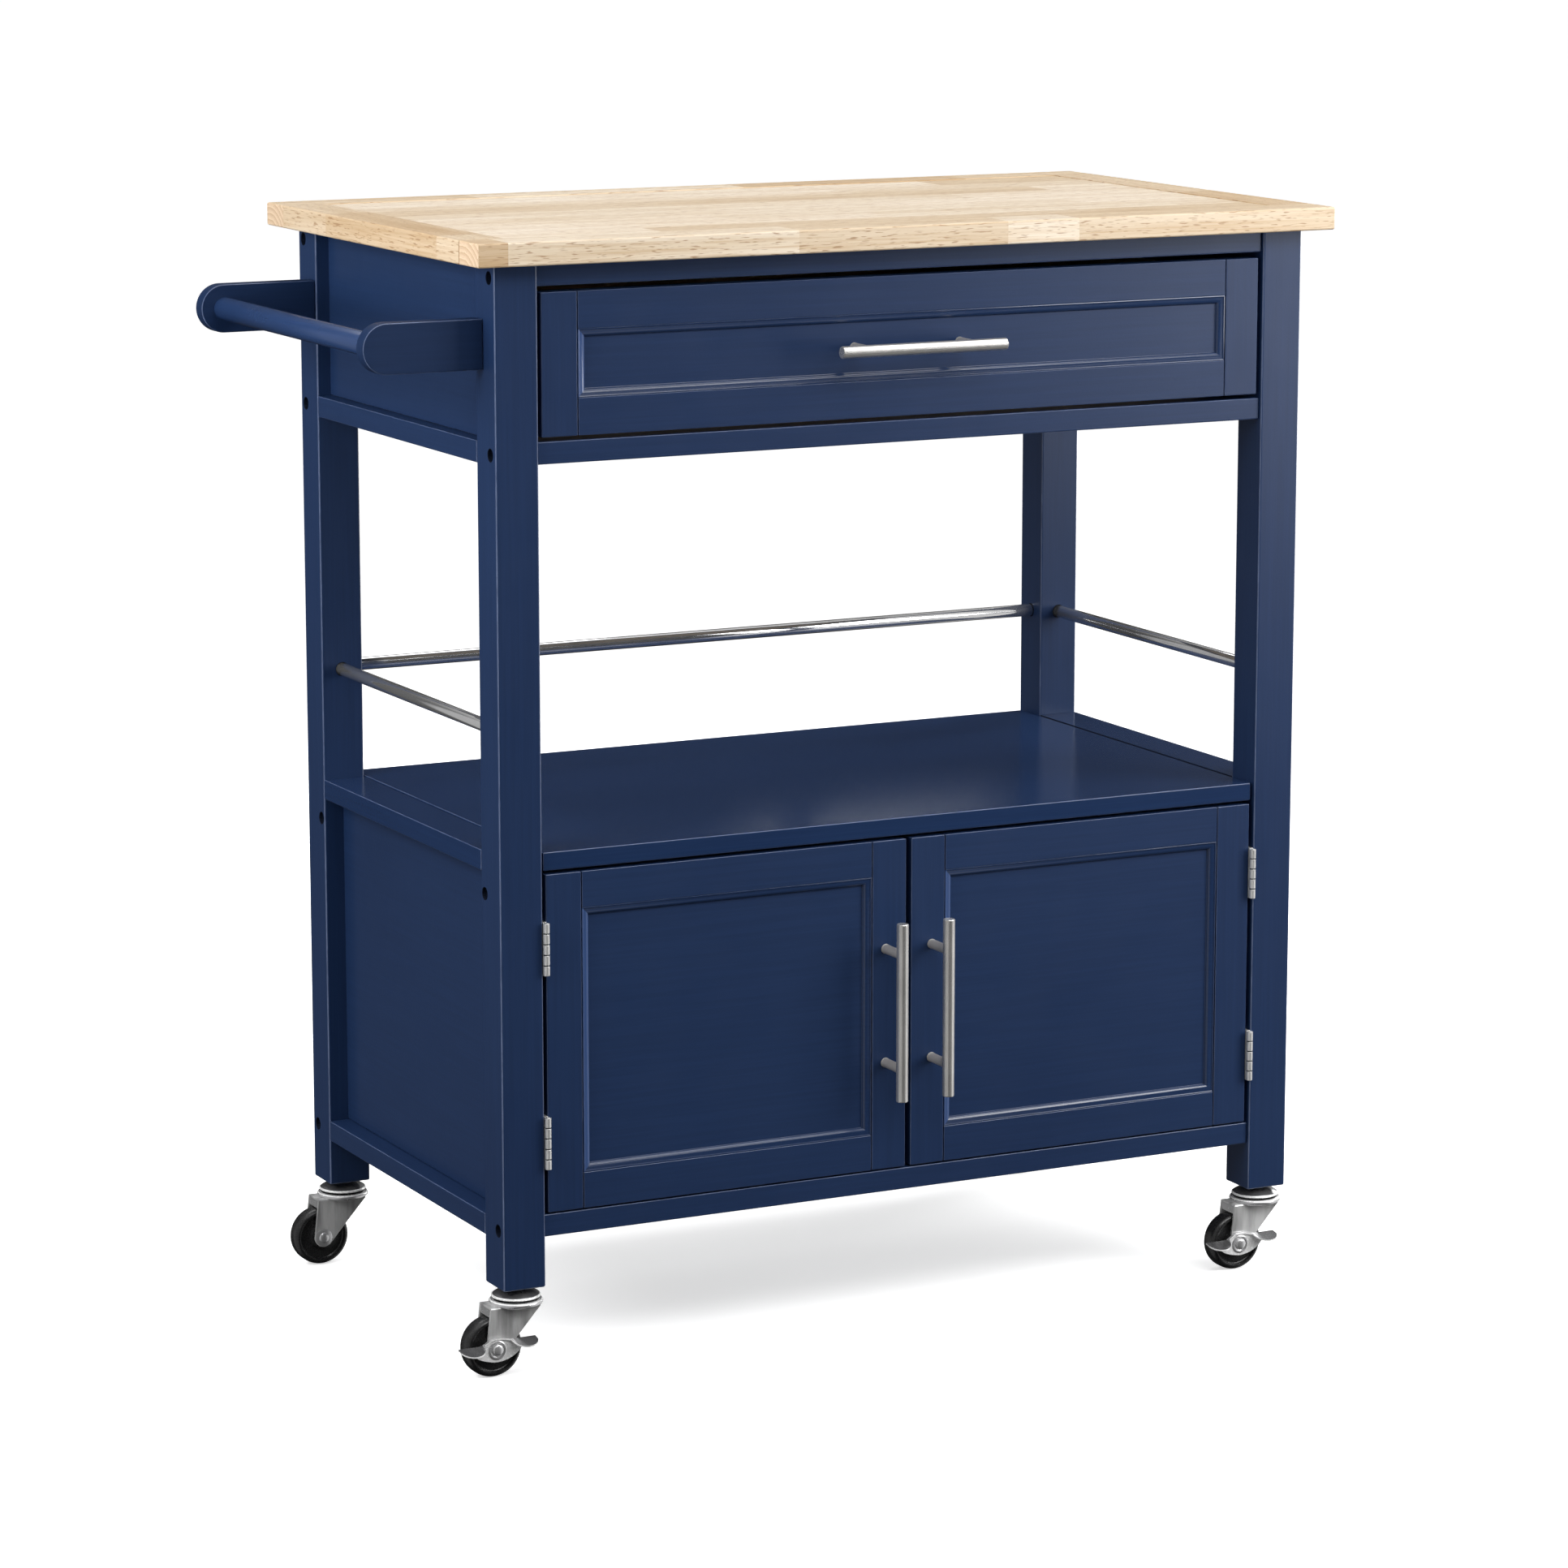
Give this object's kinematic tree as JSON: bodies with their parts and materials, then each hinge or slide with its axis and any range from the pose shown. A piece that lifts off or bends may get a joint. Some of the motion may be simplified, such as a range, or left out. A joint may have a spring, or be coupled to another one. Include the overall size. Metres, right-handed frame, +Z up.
{
  "type": "kitchen island cart",
  "caption": "Kitchen cart on swivel casters: light wood worktop, navy frame, drawer, open bay with steel gallery rail, two-door cabinet and a side towel bar.",
  "frame": {"origin": "on the floor, under the middle of the whole cart's box, towel bar and pulls included", "axes": "+Z up; the drawer and doors face -Y; the towel bar is on the -X side"},
  "size_m": [0.856, 0.4583, 0.9144],
  "materials": {
    "navy_paint": "satin navy paint on wood",
    "worktop_wood": "light solid wood, satin lacquer",
    "drawer_wood": "unpainted light wood, thin lacquer",
    "brushed_steel": "brushed nickel",
    "polished_steel": "polished steel",
    "zinc_plate": "bright zinc plate",
    "black_rubber": "moulded black, satin"
  },
  "bodies": {
    "frame": {"worktop": "worktop_wood", "leg_front_left": "navy_paint", "leg_front_right": "navy_paint", "leg_rear_left": "navy_paint", "leg_rear_right": "navy_paint", "front_top_rail": "navy_paint", "front_drawer_rail": "navy_paint", "side_rail_left": "navy_paint", "shelf_side_rail_left": "navy_paint", "floor_side_rail_left": "navy_paint", "side_panel_left": "navy_paint", "cabinet_side_left": "navy_paint", "side_rail_right": "navy_paint", "shelf_side_rail_right": "navy_paint", "floor_side_rail_right": "navy_paint", "side_panel_right": "navy_paint", "cabinet_side_right": "navy_paint", "shelf": "navy_paint", "cabinet_floor": "navy_paint", "cabinet_back": "navy_paint", "rear_panel": "navy_paint", "drawer_runner": "drawer_wood", "gallery_rod_rear": "polished_steel", "gallery_rod_left": "polished_steel", "gallery_rod_right": "polished_steel", "towel_arm_front": "navy_paint", "towel_arm_rear": "navy_paint", "towel_dowel": "navy_paint", "hinge_frame_left_lower": "brushed_steel", "hinge_frame_left_upper": "brushed_steel", "hinge_frame_right_lower": "brushed_steel", "hinge_frame_right_upper": "brushed_steel", "caster_mount_front_left": "zinc_plate", "caster_mount_front_right": "zinc_plate", "caster_mount_rear_left": "zinc_plate", "caster_mount_rear_right": "zinc_plate"},
    "drawer": {"drawer_front": "navy_paint", "drawer_side_left": "drawer_wood", "drawer_side_right": "drawer_wood", "drawer_back": "drawer_wood", "drawer_bottom": "drawer_wood", "drawer_pull": "brushed_steel"},
    "left_door": {"door_left": "navy_paint", "door_pull_left": "brushed_steel", "hinge_door_left_lower": "brushed_steel", "hinge_door_left_upper": "brushed_steel"},
    "right_door": {"door_right": "navy_paint", "door_pull_right": "brushed_steel", "hinge_door_right_lower": "brushed_steel", "hinge_door_right_upper": "brushed_steel"},
    "swivel_front_left": {"caster_fork_front_left": "zinc_plate"},
    "wheel_front_left": {"caster_wheel_front_left": "black_rubber"},
    "brake_front_left": {"brake_lever_front_left": "zinc_plate"},
    "swivel_front_right": {"caster_fork_front_right": "zinc_plate"},
    "wheel_front_right": {"caster_wheel_front_right": "black_rubber"},
    "brake_front_right": {"brake_lever_front_right": "zinc_plate"},
    "swivel_rear_left": {"caster_fork_rear_left": "zinc_plate"},
    "wheel_rear_left": {"caster_wheel_rear_left": "black_rubber"},
    "swivel_rear_right": {"caster_fork_rear_right": "zinc_plate"},
    "wheel_rear_right": {"caster_wheel_rear_right": "black_rubber"}
  },
  "joints": [
    {"name": "drawer_slide", "type": "slide", "parent": "frame", "child": "drawer", "axis": [0, -1, 0], "range_m": [0, 0.28]},
    {"name": "left_door_hinge", "type": "hinge", "parent": "frame", "child": "left_door", "pos_m": [-0.2881, -0.1985, 0.2721], "axis": [0, 0, -1], "range_deg": [0, 170]},
    {"name": "right_door_hinge", "type": "hinge", "parent": "frame", "child": "right_door", "pos_m": [0.3681, -0.1985, 0.2721], "axis": [0, 0, 1], "range_deg": [0, 170]},
    {"name": "front_left_swivel", "type": "hinge", "parent": "frame", "child": "swivel_front_left", "pos_m": [-0.3086, -0.1778, 0.0628], "axis": [0, 0, 1], "continuous": true},
    {"name": "front_left_wheel_spin", "type": "hinge", "parent": "swivel_front_left", "child": "wheel_front_left", "pos_m": [-0.3311, -0.1778, 0.02484], "axis": [0, 1, 0], "continuous": true},
    {"name": "front_left_brake", "type": "hinge", "parent": "swivel_front_left", "child": "brake_front_left", "pos_m": [-0.3311, -0.1778, 0.02484], "axis": [0, -1, 0], "range_deg": [0, 14]},
    {"name": "front_right_swivel", "type": "hinge", "parent": "frame", "child": "swivel_front_right", "pos_m": [0.3886, -0.1778, 0.0628], "axis": [0, 0, 1], "continuous": true},
    {"name": "front_right_wheel_spin", "type": "hinge", "parent": "swivel_front_right", "child": "wheel_front_right", "pos_m": [0.3661, -0.1778, 0.02484], "axis": [0, 1, 0], "continuous": true},
    {"name": "front_right_brake", "type": "hinge", "parent": "swivel_front_right", "child": "brake_front_right", "pos_m": [0.3661, -0.1778, 0.02484], "axis": [0, -1, 0], "range_deg": [0, 14]},
    {"name": "rear_left_swivel", "type": "hinge", "parent": "frame", "child": "swivel_rear_left", "pos_m": [-0.3086, 0.192, 0.0628], "axis": [0, 0, 1], "continuous": true},
    {"name": "rear_left_wheel_spin", "type": "hinge", "parent": "swivel_rear_left", "child": "wheel_rear_left", "pos_m": [-0.3311, 0.192, 0.02484], "axis": [0, 1, 0], "continuous": true},
    {"name": "rear_right_swivel", "type": "hinge", "parent": "frame", "child": "swivel_rear_right", "pos_m": [0.3886, 0.192, 0.0628], "axis": [0, 0, 1], "continuous": true},
    {"name": "rear_right_wheel_spin", "type": "hinge", "parent": "swivel_rear_right", "child": "wheel_rear_right", "pos_m": [0.3661, 0.192, 0.02484], "axis": [0, 1, 0], "continuous": true}
  ]
}
